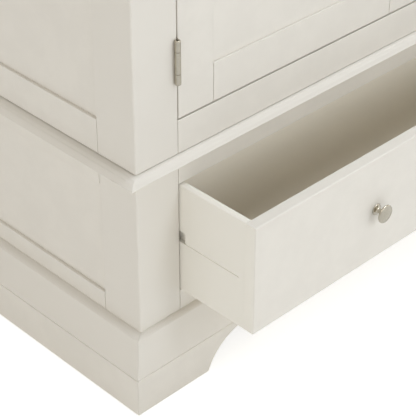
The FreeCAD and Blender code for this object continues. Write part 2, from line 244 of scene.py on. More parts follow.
def drawn_back(piece, axes, gap):
    """Leaves a hairline at both ends of a board along each of these axes."""
    corners = [Vector(corner) for corner in piece.bound_box]
    low, high = corners[0], corners[6]
    factor = [1 - 2 * gap / (high[i] - low[i]) if "XYZ"[i] in axes else 1 for i in range(3)]
    with editing(piece, "VERT"):
        bpy.ops.mesh.select_all(action="SELECT")
        bpy.ops.transform.resize(value=factor, center_override=(low + high) / 2)


def seated(piece, depth):
    """Carries the foot of a board down into what it stands on, so that no seam shows."""
    foot = piece.bound_box[0][2]
    with editing(piece, "VERT"):
        pick(piece, "verts", lambda p: abs(p.z - foot) < 0.01 * MM)
        bpy.ops.transform.translate(value=(0, 0, -depth))


def mark_arris(piece):
    """In edit mode, marks the faces that a bevel has just made as worked edges."""
    mesh = bmesh.from_edit_mesh(piece.data)
    layer = mesh.faces.layers.float.get("arris") or mesh.faces.layers.float.new("arris")
    for face in mesh.faces:
        if face.select:
            face[layer] = 1.0
    bmesh.update_edit_mesh(piece.data)


def round_edges(piece, test, radius, segments=4):
    """Rounds the edges whose two ends pass the test."""
    with editing(piece):
        pick(piece, "edges", test)
        bpy.ops.mesh.bevel(offset=radius, segments=segments, affect="EDGES")
        mark_arris(piece)


def ease(piece, radius, sharper_than=30, segments=2):
    """Takes the arris off every sharp edge."""
    with editing(piece):
        bpy.ops.mesh.edges_select_sharp(sharpness=math.radians(sharper_than))
        bpy.ops.mesh.bevel(offset=radius, segments=segments, affect="EDGES")
        mark_arris(piece)


def smooth(piece, angle=48):
    """Smooth shading that keeps the flats flat."""
    only(piece)
    bpy.ops.object.shade_smooth_by_angle(angle=math.radians(angle))
    apply(piece, "WEIGHTED_NORMAL", keep_sharp=True, weight=80)


def turned(name, profile, centre, outward, steps=40):
    """A piece turned on a lathe: (radius, height) points spun about the outward axis."""
    bpy.ops.object.select_all(action="DESELECT")
    bpy.ops.mesh.primitive_plane_add(size=1)
    piece = bpy.context.object
    piece.name = piece.data.name = name
    with editing(piece, "VERT"):
        bpy.ops.mesh.select_all(action="SELECT")
        bpy.ops.mesh.merge(type="CENTER")
        last = Vector((profile[0][0], 0, profile[0][1]))
        bpy.ops.transform.translate(value=last)
        for radius, height in profile[1:]:
            point = Vector((radius, 0, height))
            bpy.ops.mesh.extrude_region_move(TRANSFORM_OT_translate={"value": point - last})
            last = point
        bpy.ops.mesh.select_all(action="SELECT")
        bpy.ops.mesh.spin(steps=steps, angle=2 * math.pi, center=(0, 0, 0), axis=(0, 0, 1))
        bpy.ops.mesh.select_all(action="SELECT")
        bpy.ops.mesh.remove_doubles(threshold=0.005 * MM)
        bpy.ops.mesh.normals_make_consistent(inside=False)
    piece.rotation_euler = Vector(outward).to_track_quat("Z", "Y").to_euler()
    piece.location = centre
    only(piece)
    bpy.ops.object.transform_apply(location=True, rotation=True, scale=True)
    return piece


def drawn(name, outline):
    """A flat face whose outline is drawn point by point; the points are Vectors."""
    bpy.ops.object.select_all(action="DESELECT")
    bpy.ops.mesh.primitive_plane_add(size=1)
    piece = bpy.context.object
    piece.name = piece.data.name = name
    with editing(piece, "VERT"):
        bpy.ops.mesh.select_all(action="SELECT")
        bpy.ops.mesh.merge(type="CENTER")
        bpy.ops.transform.translate(value=outline[0])
        for last, point in zip(outline, outline[1:]):
            bpy.ops.mesh.extrude_region_move(TRANSFORM_OT_translate={"value": point - last})
        bpy.ops.mesh.select_all(action="SELECT")
        bpy.ops.mesh.edge_face_add()
    return piece


def length_of(name, outline, run):
    """A solid length: the drawn outline pulled out along a run."""
    piece = drawn(name, outline)
    with editing(piece, "FACE"):
        bpy.ops.mesh.select_all(action="SELECT")
        bpy.ops.mesh.extrude_region_move(TRANSFORM_OT_translate={"value": run})
        bpy.ops.mesh.select_all(action="SELECT")
        bpy.ops.mesh.normals_make_consistent(inside=False)
    return piece


def sawn(piece, point, away):
    """Cuts off what lies beyond a plane, as a mitre saw does."""
    with editing(piece, "FACE"):
        bpy.ops.mesh.select_all(action="SELECT")
        bpy.ops.mesh.bisect(plane_co=point, plane_no=away, use_fill=True,
                            clear_outer=True, threshold=0.001 * MM)
    return piece


def arc(start, through, end, steps):
    """Points on the circle through three points, without the first."""
    (ax, ay), (bx, by), (cx, cy) = start, through, end
    d = 2 * (ax * (by - cy) + bx * (cy - ay) + cx * (ay - by))
    a2, b2, c2 = ax * ax + ay * ay, bx * bx + by * by, cx * cx + cy * cy
    centre = Vector(((a2 * (by - cy) + b2 * (cy - ay) + c2 * (ay - by)) / d,
                     (a2 * (cx - bx) + b2 * (ax - cx) + c2 * (bx - ax)) / d))
    spokes = [Vector(p) - centre for p in (start, through, end)]
    first, middle, last = (math.atan2(spoke.y, spoke.x) for spoke in spokes)
    sweep = (last - first) % (2 * math.pi)
    if (middle - first) % (2 * math.pi) > sweep:
        sweep -= 2 * math.pi
    radius = spokes[0].length
    turns = [first + sweep * i / steps for i in range(1, steps + 1)]
    return [(centre.x + radius * math.cos(t), centre.y + radius * math.sin(t)) for t in turns]


def mirrored(piece, name):
    """A copy on the other side of the middle, with its own mesh."""
    twin = piece.copy()
    twin.data = piece.data.copy()
    twin.name = twin.data.name = name
    bpy.context.scene.collection.objects.link(twin)
    twin.scale = (-1, 1, 1)
    only(twin)
    bpy.ops.object.transform_apply(location=True, rotation=True, scale=True)
    with editing(twin, "FACE"):
        bpy.ops.mesh.select_all(action="SELECT")
        bpy.ops.mesh.normals_make_consistent(inside=False)
    return twin


def shifted(piece, name, offset):
    """A copy moved by an offset, with its own mesh."""
    twin = piece.copy()
    twin.data = piece.data.copy()
    twin.name = twin.data.name = name
    bpy.context.scene.collection.objects.link(twin)
    twin.location = offset
    only(twin)
    bpy.ops.object.transform_apply(location=True, rotation=True, scale=True)
    return twin


def joined(pieces):
    """Several meshes made one piece, which keeps the first one's name."""
    bpy.ops.object.select_all(action="DESELECT")
    for piece in pieces:
        piece.select_set(True)
    bpy.context.view_layer.objects.active = pieces[0]
    bpy.ops.object.join()
    return pieces[0]


def lay_grain(piece, along):
    """Stores each point's place along, across and through the board, for the finishes."""
    order = {"X": (0, 1, 2), "Y": (1, 0, 2), "Z": (2, 0, 1)}[along]
    board_gap = 1.7
    shift = board_gap * len([o for o in bpy.data.objects if "grain" in o.keys()])
    layer = piece.data.attributes.new("grain", "FLOAT_VECTOR", "POINT")
    values = [vertex.co[axis] + shift for vertex in piece.data.vertices for axis in order]
    layer.data.foreach_set("vector", values)
    piece["grain"] = along


def done(piece, body, nodes, finish, along="Z"):
    """Gives a piece its finish and ties it to the frame."""
    lay_grain(piece, along)
    piece.data.materials.clear()
    piece.data.materials.append(bpy.data.materials[finish])
    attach(piece, body)
    if nodes:
        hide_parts(*nodes)
    return piece


# ---------------------------------------------------------------- finishes
def add(nodes, kind, **values):
    """A node with input values, and node settings where the name is not an input."""
    node = nodes.new(kind)
    for name, value in values.items():
        label = name.replace("_", " ")
        if label in node.inputs:
            node.inputs[label].default_value = value
        else:
            setattr(node, name, value)
    return node


def new_group(name, inputs, outputs):
    """A shader node group with named sockets; inputs carry their defaults."""
    group = bpy.data.node_groups.new(name, "ShaderNodeTree")
    for label, kind, value in inputs:
        socket = group.interface.new_socket(label, in_out="INPUT", socket_type=kind)
        if value is not None:
            socket.default_value = value
    for label in outputs:
        group.interface.new_socket(label, in_out="OUTPUT", socket_type="NodeSocketFloat")
    return group, group.nodes.new("NodeGroupInput"), group.nodes.new("NodeGroupOutput")


def stretched(group, source, along, across):
    """Coordinates squeezed so that a pattern runs along the board."""
    mapping = add(group.nodes, "ShaderNodeMapping", Scale=(along, across, across))
    group.links.new(source, mapping.inputs["Vector"])
    return mapping.outputs["Vector"]


def per(group, source, top=1.0):
    """A pattern's scale from the width of its marks."""
    divide = add(group.nodes, "ShaderNodeMath", operation="DIVIDE")
    divide.inputs[0].default_value = top
    group.links.new(source, divide.inputs[1])
    return divide.outputs[0]


def make_brush_marks():
    """Brush strokes along the board and a slow drift in the coat."""
    group, given, out = new_group(
        "Brush marks",
        [("Place", "NodeSocketVector", None), ("Stroke width", "NodeSocketFloat", 0.0014)],
        ["Stroke", "Drift"])
    nodes, links = group.nodes, group.links
    strokes = add(nodes, "ShaderNodeTexNoise", Detail=3.0, Roughness=0.6)
    links.new(stretched(group, given.outputs["Place"], 0.03, 1.0), strokes.inputs["Vector"])
    links.new(per(group, given.outputs["Stroke width"]), strokes.inputs["Scale"])
    drift = add(nodes, "ShaderNodeTexNoise", Scale=5.0, Detail=2.0, Roughness=0.5)
    links.new(stretched(group, given.outputs["Place"], 0.5, 1.0), drift.inputs["Vector"])
    links.new(strokes.outputs["Fac"], out.inputs["Stroke"])
    links.new(drift.outputs["Fac"], out.inputs["Drift"])


def make_painted_edge_highlight():
    """Painted highlight: worked edges given a lighter colour, broken up by noise."""
    group, given, out = new_group(
        "Edge wear",
        [("Edge", "NodeSocketFloat", 0.0), ("Place", "NodeSocketVector", None),
         ("Patch size", "NodeSocketFloat", 0.06), ("Amount", "NodeSocketFloat", 0.5)],
        ["Wear"])
    nodes, links = group.nodes, group.links
    patches = add(nodes, "ShaderNodeTexNoise", Detail=4.0, Roughness=0.65)
    links.new(given.outputs["Place"], patches.inputs["Vector"])
    links.new(per(group, given.outputs["Patch size"]), patches.inputs["Scale"])
    shape = add(nodes, "ShaderNodeMapRange", interpolation_type="SMOOTHSTEP",
                From_Min=0.38, From_Max=0.66)
    links.new(patches.outputs["Fac"], shape.inputs["Value"])
    on_edge = add(nodes, "ShaderNodeMath", operation="MULTIPLY")
    links.new(shape.outputs["Result"], on_edge.inputs[0])
    links.new(given.outputs["Edge"], on_edge.inputs[1])
    scaled = add(nodes, "ShaderNodeMath", operation="MULTIPLY")
    links.new(on_edge.outputs[0], scaled.inputs[0])
    links.new(given.outputs["Amount"], scaled.inputs[1])
    links.new(scaled.outputs[0], out.inputs["Wear"])


def make_timber_figure():
    """Growth rings and pores of straight-grained wood."""
    group, given, out = new_group(
        "Timber figure",
        [("Place", "NodeSocketVector", None), ("Ring width", "NodeSocketFloat", 0.006)],
        ["Ring", "Pore"])
    nodes, links = group.nodes, group.links
    bend = add(nodes, "ShaderNodeTexNoise", Scale=3.0, Detail=3.0)
    links.new(stretched(group, given.outputs["Place"], 0.25, 1.0), bend.inputs["Vector"])
    push = add(nodes, "ShaderNodeVectorMath", operation="MULTIPLY_ADD")
    push.inputs[1].default_value = (0.06, 0.06, 0.06)
    links.new(bend.outputs["Color"], push.inputs[0])
    links.new(given.outputs["Place"], push.inputs[2])
    squeeze = add(nodes, "ShaderNodeMapping", Scale=(0.02, 1.0, 0.6))
    links.new(push.outputs["Vector"], squeeze.inputs["Vector"])
    rings_per_metre = per(group, given.outputs["Ring width"], 0.3)
    rings = add(nodes, "ShaderNodeTexWave", wave_type="BANDS", bands_direction="DIAGONAL",
                wave_profile="SAW", Distortion=2.0, Detail=2.0)
    links.new(squeeze.outputs["Vector"], rings.inputs["Vector"])
    links.new(rings_per_metre, rings.inputs["Scale"])
    pores = add(nodes, "ShaderNodeTexNoise", Scale=900.0, Detail=2.0)
    links.new(stretched(group, given.outputs["Place"], 0.04, 1.0), pores.inputs["Vector"])
    links.new(rings.outputs["Fac"], out.inputs["Ring"])
    links.new(pores.outputs["Fac"], out.inputs["Pore"])


def make_scratches():
    """Fine polishing lines and slow smears on metal."""
    group, given, out = new_group(
        "Fine scratches",
        [("Place", "NodeSocketVector", None), ("Line width", "NodeSocketFloat", 0.0002)],
        ["Line", "Smear"])
    nodes, links = group.nodes, group.links
    lines = add(nodes, "ShaderNodeTexNoise", Detail=2.0, Roughness=0.7)
    links.new(stretched(group, given.outputs["Place"], 0.06, 1.0), lines.inputs["Vector"])
    links.new(per(group, given.outputs["Line width"]), lines.inputs["Scale"])
    smears = add(nodes, "ShaderNodeTexNoise", Scale=160.0, Detail=3.0)
    links.new(given.outputs["Place"], smears.inputs["Vector"])
    links.new(lines.outputs["Fac"], out.inputs["Line"])
    links.new(smears.outputs["Fac"], out.inputs["Smear"])


def place_group(tree, name, **values):
    node = tree.nodes.new("ShaderNodeGroup")
    node.node_tree = bpy.data.node_groups[name]
    for label, value in values.items():
        node.inputs[label.replace("_", " ")].default_value = value
    return node


def start_material(name, **constants):
    """A material with its Principled shader, whose constants stand on its own sockets."""
    material = bpy.data.materials.new(name)
    material.use_nodes = True
    shader = material.node_tree.nodes["Principled BSDF"]
    for label, value in constants.items():
        shader.inputs[label.replace("_", " ")].default_value = value
    grain = add(material.node_tree.nodes, "ShaderNodeAttribute", attribute_name="grain")
    return material, material.node_tree, shader, grain.outputs["Vector"]


def blend_colours(tree, factor, first, second):
    """Colour mixed from one to the other by a factor; a colour may be a socket."""
    mix = add(tree.nodes, "ShaderNodeMix", data_type="RGBA")
    tree.links.new(factor, mix.inputs["Factor"])
    for socket, colour in ((mix.inputs[6], first), (mix.inputs[7], second)):
        if isinstance(colour, bpy.types.NodeSocket):
            tree.links.new(colour, socket)
        else:
            socket.default_value = (*colour, 1.0)
    return mix.outputs[2]


def remap(tree, value, low, high):
    """A 0 to 1 value carried to another range."""
    node = add(tree.nodes, "ShaderNodeMapRange", To_Min=low, To_Max=high)
    tree.links.new(value, node.inputs["Value"])
    return node.outputs["Result"]


def bump(tree, shader, height, depth):
    """Relief of a real depth in metres."""
    node = add(tree.nodes, "ShaderNodeBump", Strength=1.0, Distance=depth)
    tree.links.new(height, node.inputs["Height"])
    tree.links.new(node.outputs["Normal"], shader.inputs["Normal"])


def paint_material(name, colour, roughness, stroke_depth, edge_highlight_amount):
    """Satin paint laid on with a brush, with a painted highlight of lighter colour on the
    arrises.
    """
    _, tree, shader, place = start_material(name, Specular_IOR_Level=0.42)
    marks = place_group(tree, "Brush marks")
    tree.links.new(place, marks.inputs["Place"])
    edge = add(tree.nodes, "ShaderNodeAttribute", attribute_name="arris")
    edge_highlight = place_group(tree, "Edge wear", Amount=edge_highlight_amount)
    tree.links.new(place, edge_highlight.inputs["Place"])
    tree.links.new(edge.outputs["Fac"], edge_highlight.inputs["Edge"])
    colour = Vector(colour)
    coat = blend_colours(tree, marks.outputs["Drift"], colour * 0.975, colour * 1.02)
    # The arrises turn towards a paler colour, patchy by noise: a painted highlight.
    highlight_colour = Vector((min(1.0, c * 1.05) for c in colour))
    highlighted_coat = blend_colours(tree, edge_highlight.outputs["Wear"], coat, highlight_colour)
    tree.links.new(highlighted_coat, shader.inputs["Base Color"])
    gloss = remap(tree, marks.outputs["Stroke"], roughness - 0.05, roughness + 0.06)
    tree.links.new(gloss, shader.inputs["Roughness"])
    bump(tree, shader, marks.outputs["Stroke"], stroke_depth)


def wood_material(name, pale, dark, roughness):
    """Bare planed wood."""
    _, tree, shader, place = start_material(name, Specular_IOR_Level=0.35)
    figure = place_group(tree, "Timber figure")
    tree.links.new(place, figure.inputs["Place"])
    rings = blend_colours(tree, figure.outputs["Ring"], pale, dark)
    pores = remap(tree, figure.outputs["Pore"], 0.0, 0.35)
    shaded = blend_colours(tree, pores, rings, dark)
    tree.links.new(shaded, shader.inputs["Base Color"])
    gloss = remap(tree, figure.outputs["Pore"], roughness - 0.08, roughness + 0.08)
    tree.links.new(gloss, shader.inputs["Roughness"])
    bump(tree, shader, figure.outputs["Pore"], 0.08 * MM)


def metal_material(name, colour, roughness, line_depth):
    """Plated metal with polishing lines and a slight bloom."""
    _, tree, shader, place = start_material(name, Metallic=1.0)
    marks = place_group(tree, "Fine scratches")
    tree.links.new(place, marks.inputs["Place"])
    colour = Vector(colour)
    bloom = blend_colours(tree, marks.outputs["Smear"], colour * 0.9, colour * 1.06)
    tree.links.new(bloom, shader.inputs["Base Color"])
    gloss = remap(tree, marks.outputs["Line"], roughness - 0.06, roughness + 0.10)
    tree.links.new(gloss, shader.inputs["Roughness"])
    bump(tree, shader, marks.outputs["Line"], line_depth)


class ARMOIRE_OT_finishes(bpy.types.Operator):
    """Make the paint, wood, metal and plastic finishes"""
    bl_idname = "armoire.finishes"
    bl_label = "Finishes"

    def execute(self, context):
        for make in (make_brush_marks, make_painted_edge_highlight, make_timber_figure, make_scratches):
            make()
        paint, metal = context.scene.armoire_paint, context.scene.armoire_metal
        # The last number of each paint is the strength of its painted edge highlight on the
        # arrises.
        paint_material("Satin paint", paint.outside, paint.sheen, 0.05 * MM, 0.6)
        # The drawer's sides get a lighter copy of the outside paint: painted bounce light.
        paint_material("Drawer paint", paint.drawer, paint.sheen, 0.05 * MM, 0.6)
        paint_material("Inside paint", paint.inside, paint.sheen + 0.12, 0.07 * MM, 0.25)
        wood_material("Bare wood", paint.wood_light, paint.wood_dark, 0.62)
        metal_material("Satin nickel", metal.nickel, metal.nickel_roughness, 0.004 * MM)
        metal_material("Polished rail", (0.72, 0.72, 0.71), 0.14, 0.002 * MM)
        paint_material("Cream plastic", (0.74, 0.70, 0.61), 0.38, 0.01 * MM, 0.0)
        return {"FINISHED"}


# ---------------------------------------------------------------- the case
CASE_BOARDS = (      # finish, slot, then each node with the direction of its grain
    ("Satin paint", "painted_wood", (
        ("upper_front_post_left", "Z"), ("upper_front_post_right", "Z"),
        ("lower_front_post_left", "Z"), ("lower_front_post_right", "Z"),
        ("upper_rear_posts", "Z"), ("lower_rear_posts", "Z"),
        ("upper_side_top_rails", "Y"), ("upper_side_bottom_rails", "Y"),
        ("lower_side_top_rails", "Y"), ("lower_side_bottom_rails", "Y"),
        ("upper_side_panels", "Z"), ("lower_side_panels", "Y"),
        ("upper_top_rail", "X"), ("upper_bottom_rail", "X"),
        ("lower_top_rail", "X"), ("lower_bottom_rail", "X"))),
    ("Inside paint", "painted_inside", (
        ("upper_floor", "X"), ("ceiling_board", "X"), ("hat_shelf", "X"),
        ("wall_fixing_rail", "X"), ("lower_back_panel", "X"))),
    ("Bare wood", "bare_wood", (
        ("shelf_battens", "Y"), ("drawer_runner_left", "Y"), ("drawer_runner_right", "Y"),
        ("foot_board_rear", "X"), ("centre_foot", "Z"), ("centre_bearer", "Y"))),
)


class ARMOIRE_OT_case(bpy.types.Operator):
    """Work the edges of the posts, rails, panels and boards of both carcases"""
    bl_idname = "armoire.case"
    bl_label = "Case"

    def execute(self, context):
        timber = context.scene.armoire_timber
        for finish, slot, boards in CASE_BOARDS:
            for node, along in boards:
                piece = self.worked(timber, node, along)
                done(piece, "carcase", [node], finish, along)
        return {"FINISHED"}

    def worked(self, timber, node, along):
        piece = copied(node + "_board", node)
        drawn_back(piece, along + "Z", timber.joint_gap)
        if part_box(node)[0].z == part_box("lower_bottom_rail")[0].z:
            seated(piece, 2 * timber.arris)
        if "front_post" in node:
            corner = -SIDE if "left" in node else SIDE
            round_edges(piece, lambda p: abs(p.x - corner) + abs(p.y - FRONT) < 0.1 * MM,
                        timber.corner_round)
        ease(piece, timber.arris)
        smooth(piece)
        return piece


class ARMOIRE_OT_back(bpy.types.Operator):
    """Board the back of the upper carcase with V-jointed match boards"""
    bl_idname = "armoire.back"
    bl_label = "Back boards"

    def execute(self, context):
        low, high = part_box("upper_back_panel")
        count = round((high.x - low.x) / context.scene.armoire_timber.match_board)
        width = (high.x - low.x) / count
        boards = block("upper_back_boards", low, (low.x + width, high.y, high.z))
        ease(boards, 1.6 * MM, segments=1)
        apply(boards, "ARRAY", count=count, use_relative_offset=False,
              use_constant_offset=True, constant_offset_displace=(width, 0, 0))
        done(boards, "carcase", ["upper_back_panel"], "Inside paint", "Z")
        return {"FINISHED"}


# ---------------------------------------------------------------- mouldings
def mitre(out, side):
    """The mitre plane at a front corner; side is -1 at the left one."""
    corner = Vector((side * SIDE, FRONT, 0))
    away_from_front = Vector((side * out.y, out.x, 0))
    return corner, away_from_front


def front_length(name, outline, out):
    """A length along the front; outline is (distance out, height)."""
    start = -SIDE - 2 * out.x
    points = [Vector((start, FRONT - o, up)) for o, up in outline]
    piece = length_of(name, points, (-2 * start, 0, 0))
    for side in (-1, 1):
        sawn(piece, *mitre(out, side))
    return piece


def side_length(name, outline, out, side):
    """A length along one side, which stands out in proportion to the front one."""
    widen = out.x / out.y
    start = FRONT - 2 * out.y
    points = [Vector((side * (SIDE + o * widen), start, up)) for o, up in outline]
    piece = length_of(name, points, (0, BACK - start, 0))
    corner, away_from_front = mitre(out, side)
    return sawn(piece, corner, -away_from_front)


def moulding(name, outline, out, timber, softer=1.0):
    """Front, left and right lengths of a moulding, mitred at the front corners."""
    lengths = [front_length(name + "_front_length", outline, out),
               side_length(name + "_left_length", outline, out, -1),
               side_length(name + "_right_length", outline, out, 1)]
    nodes = (name + "_front", name + "_sides", name + "_sides")
    for piece, node, along in zip(lengths, nodes, "XYY"):
        ease(piece, softer * timber.arris, sharper_than=42, segments=3)
        smooth(piece, 40)
        done(piece, "carcase", [node], "Satin paint", along)


class ARMOIRE_OT_plinth(bpy.types.Operator):
    """Make the base moulding and the foot boards with their bracket feet"""
    bl_idname = "armoire.plinth"
    bl_label = "Plinth"

    def execute(self, context):
        timber = context.scene.armoire_timber
        low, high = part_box("base_moulding_front")
        foot, top = low.z, high.z
        inside = FRONT - high.y
        fillet, hollow, shoulder, ledge = (f * PLINTH_OUT.y for f in (0.95, 0.70, 0.63, 0.36))
        drop = 4.5 * MM
        outline = [(inside, foot), (fillet, foot), (fillet, foot + 4 * MM)]
        outline += arc(outline[-1], (hollow, (top + foot) / 2 + 2 * MM),
                       (shoulder, top - drop), 14)
        outline += arc(outline[-1], (ledge, top - 1.1 * MM), (0.0, top), 9)
        outline += [(inside, top)]
        moulding("base_moulding", outline, PLINTH_OUT, timber, 0.7)
        self.foot_boards(timber, foot, inside)
        return {"FINISHED"}

    def foot_boards(self, timber, height, inside):
        """The front board has an arch cut out between its bracket feet."""
        foot_length, radius, arch = 139 * MM, 66 * MM, 53 * MM
        end = PLINTH_LOW.x + foot_length
        far = PLINTH_LOW.x - PLINTH_OUT.x
        curve = arc((end, 0), (end + 0.33 * radius, 0.60 * arch), (end + radius, arch), 16)
        half = [(far, height), (far, 0), (end, 0)] + curve
        outline = half + [(-x, z) for x, z in reversed(half)]
        front = length_of("foot_board_front_length",
                          [Vector((x, PLINTH_LOW.y, z)) for x, z in outline],
                          (0, FRONT - inside - PLINTH_LOW.y, 0))
        for side in (-1, 1):
            sawn(front, *mitre(PLINTH_OUT, side))
        plain = [(inside, 0), (PLINTH_OUT.y, 0), (PLINTH_OUT.y, height), (inside, height)]
        left = side_length("foot_board_left_length", plain, PLINTH_OUT, -1)
        right = side_length("foot_board_right_length", plain, PLINTH_OUT, 1)
        for piece, node, along in ((front, "foot_board_front", "X"),
                                   (left, "foot_board_sides", "Y"),
                                   (right, "foot_board_sides", "Y")):
            ease(piece, 1.2 * timber.arris, segments=3, sharper_than=42)
            smooth(piece, 40)
            done(piece, "carcase", [node], "Satin paint", along)


class ARMOIRE_OT_waist(bpy.types.Operator):
    """Make the waist board, with its nosed edge run round the front and both sides"""
    bl_idname = "armoire.waist"
    bl_label = "Waist"

    def execute(self, context):
        bottom, top = WAIST_LOW.z, WAIST_HIGH.z
        out = Vector((18 * MM, 12 * MM))
        neck, chin, lip, brow, slope = (f * out.y for f in (0.25, 0.86, 1.0, 0.93, 0.5))
        edge = [(0.0, bottom)]
        edge += arc(edge[-1], (neck, bottom + 3.6 * MM), (chin, bottom + 5.8 * MM), 8)
        edge += arc(edge[-1], (lip, bottom + 7.4 * MM), (brow, bottom + 9.8 * MM), 6)
        edge += arc(edge[-1], (slope, top - 3.4 * MM), (0.0, top), 8)
        past = 2 * out.x
        nosed = [Vector((-SIDE - past, FRONT - o, up)) for o, up in edge]
        nosed += [Vector((-SIDE - past, BACK, top)), Vector((-SIDE - past, BACK, bottom))]
        board = length_of("waist_board_nosed", nosed, (2 * (SIDE + past), 0, 0))
        widen = out.x / out.y
        left = [Vector((-SIDE - o * widen, FRONT - past, up)) for o, up in edge]
        right = [Vector((-point.x, point.y, point.z)) for point in reversed(left)]
        cutter = length_of("waist_cutter", left + right, (0, BACK - FRONT + 2 * past, 0))
        apply(board, "BOOLEAN", operation="INTERSECT", object=cutter, solver="EXACT")
        bpy.data.objects.remove(cutter)
        ease(board, 0.5 * context.scene.armoire_timber.arris, sharper_than=60)
        smooth(board, 40)
        done(board, "carcase", ["waist_board"], "Satin paint", "X")
        return {"FINISHED"}


class ARMOIRE_OT_cornice(bpy.types.Operator):
    """Make the cornice in three mitred lengths"""
    bl_idname = "armoire.cornice"
    bl_label = "Cornice"

    def execute(self, context):
        low, top = CORNICE_LOW.z, CORNICE_HIGH.z
        out = Vector((46 * MM, 46 * MM))
        step, hollow, shelf, nose = (f * out.y for f in (0.14, 0.36, 0.80, 0.97))
        outline = [(0.0, low), (step, low), (step, low + 8 * MM)]
        outline += arc(outline[-1], (hollow, low + 36 * MM), (shelf, low + 46 * MM), 14)
        outline += [(shelf, low + 52 * MM)]
        outline += arc(outline[-1], (nose, low + 55 * MM), (out.y, top - 8 * MM), 7)
        outline += [(out.y, top), (0.0, top)]
        moulding("cornice", outline, out, context.scene.armoire_timber, 0.8)
        return {"FINISHED"}


# ---------------------------------------------------------------- doors and drawer
class ARMOIRE_OT_doors(bpy.types.Operator):
    """Work the stiles, rails and panels of both doors"""
    bl_idname = "armoire.doors"
    bl_label = "Doors"

    def execute(self, context):
        timber = context.scene.armoire_timber
        grain = {"hinge_stile": "Z", "meeting_stile": "Z", "bottom_rail": "X",
                 "top_rail": "X", "panel": "Z"}
        for body in ("left_door", "right_door"):
            for part, along in grain.items():
                node = f"{body}_{part}"
                piece = copied(node + "_board", node)
                if along == "X":
                    drawn_back(piece, "X", timber.joint_gap)
                ease(piece, 0.8 * timber.arris)
                smooth(piece)
                done(piece, body, [node], "Satin paint", along)
        return {"FINISHED"}


class ARMOIRE_OT_drawer(bpy.types.Operator):
    """Work the front, sides, back and bottom of the drawer"""
    bl_idname = "armoire.drawer"
    bl_label = "Drawer"

    def execute(self, context):
        timber = context.scene.armoire_timber
        low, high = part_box("drawer_front")
        front = copied("drawer_front_board", "drawer_front")
        round_edges(front, lambda p: abs(p.y - low.y) < 0.1 * MM, timber.drawer_round, 4)
        ease(front, 0.25 * timber.arris)
        smooth(front)
        done(front, "drawer", ["drawer_front"], "Satin paint", "X")
        # The ends of the drawer front take the same lightened paint, so its painted bounce light
        # runs on unbroken.
        front.data.materials.append(bpy.data.materials["Drawer paint"])
        for face in front.data.polygons:
            face.material_index = int(abs(face.normal.x) > 0.9)
        for side in ("left", "right"):
            piece = copied(f"drawer_side_{side}_board", f"drawer_side_{side}")
            round_edges(piece, lambda p: abs(p.z - high.z) < 0.1 * MM, timber.side_round, 4)
            ease(piece, 0.2 * timber.arris)
            smooth(piece)
            done(piece, "drawer", [f"drawer_side_{side}"], "Drawer paint", "Y")
        for node in ("drawer_back", "drawer_bottom"):
            piece = copied(node + "_board", node)
            ease(piece, timber.arris)
            smooth(piece)
            done(piece, "drawer", [node], "Inside paint", "X")
        return {"FINISHED"}


# ---------------------------------------------------------------- metalwork
KNOB_PROFILE = (      # radius and height in millimetres, from the centre of the base
    (0.0, 0.0), (8.8, 0.0), (8.85, 0.3), (8.85, 1.3), (8.4, 1.8), (7.6, 2.3), (5.2, 2.9),
    (4.2, 3.5), (3.6, 4.6), (3.45, 7.0), (3.6, 10.0), (4.6, 12.2), (7.4, 13.4), (11.0, 14.0),
    (13.3, 14.8), (14.25, 15.9), (14.2, 17.2), (13.4, 18.2), (12.5, 18.3), (11.9, 17.9),
    (11.2, 17.95), (9.0, 18.8), (6.0, 19.7), (3.0, 20.2), (0.0, 20.35))


def knob(name, node, side):
    """A mushroom knob with a beaded rim on a small rose, where the CAD knob stands."""
    low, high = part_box(node)
    half_width = (high.z - low.z) / 2
    x = (high.x - half_width) * side if side else (low.x + high.x) / 2
    centre = Vector((x, high.y, (low.z + high.z) / 2))
    profile = [(r * MM, h * MM) for r, h in KNOB_PROFILE]
    piece = turned(name, profile, centre, (0, -1, 0))
    apply(piece, "SUBSURF", levels=1, render_levels=1)
    smooth(piece, 60)
    return piece


class ARMOIRE_OT_knobs(bpy.types.Operator):
    """Turn the knobs of the doors and the drawer"""
    bl_idname = "armoire.knobs"
    bl_label = "Knobs"

    def execute(self, context):
        for name, node, body, side in (
                ("left_door_turned_knob", "left_door_knob", "left_door", 0),
                ("right_door_turned_knob", "right_door_knob", "right_door", 0),
                ("drawer_turned_knob_left", "drawer_knobs", "drawer", -1),
                ("drawer_turned_knob_right", "drawer_knobs", "drawer", 1)):
            piece = knob(name, node, side)
            done(piece, body, [node], "Satin nickel", "Y")
        return {"FINISHED"}


def screw_head(name, centre, outward, radius=2.7 * MM):
    """A countersunk head with a slot, almost flush."""
    depth, slot = 0.5 * MM, 0.35 * MM
    piece = rod(name, radius, (0, 0, -depth), (0, 0, 0), sides=24)
    with editing(piece, "FACE"):
        for x in (-slot, slot):
            bpy.ops.mesh.select_all(action="SELECT")
            bpy.ops.mesh.bisect(plane_co=(x, 0, 0), plane_no=(1, 0, 0))
        pick(piece, "faces", lambda p: abs(p.z) < 0.01 * MM and abs(p.x) < 1.1 * slot)
        bpy.ops.mesh.extrude_region_move(
            TRANSFORM_OT_translate={"value": (0, 0, -0.6 * depth)})
    piece.rotation_euler = Vector(outward).to_track_quat("Z", "Y").to_euler()
    piece.location = centre
    only(piece)
    bpy.ops.object.transform_apply(location=True, rotation=True, scale=True)
    return piece


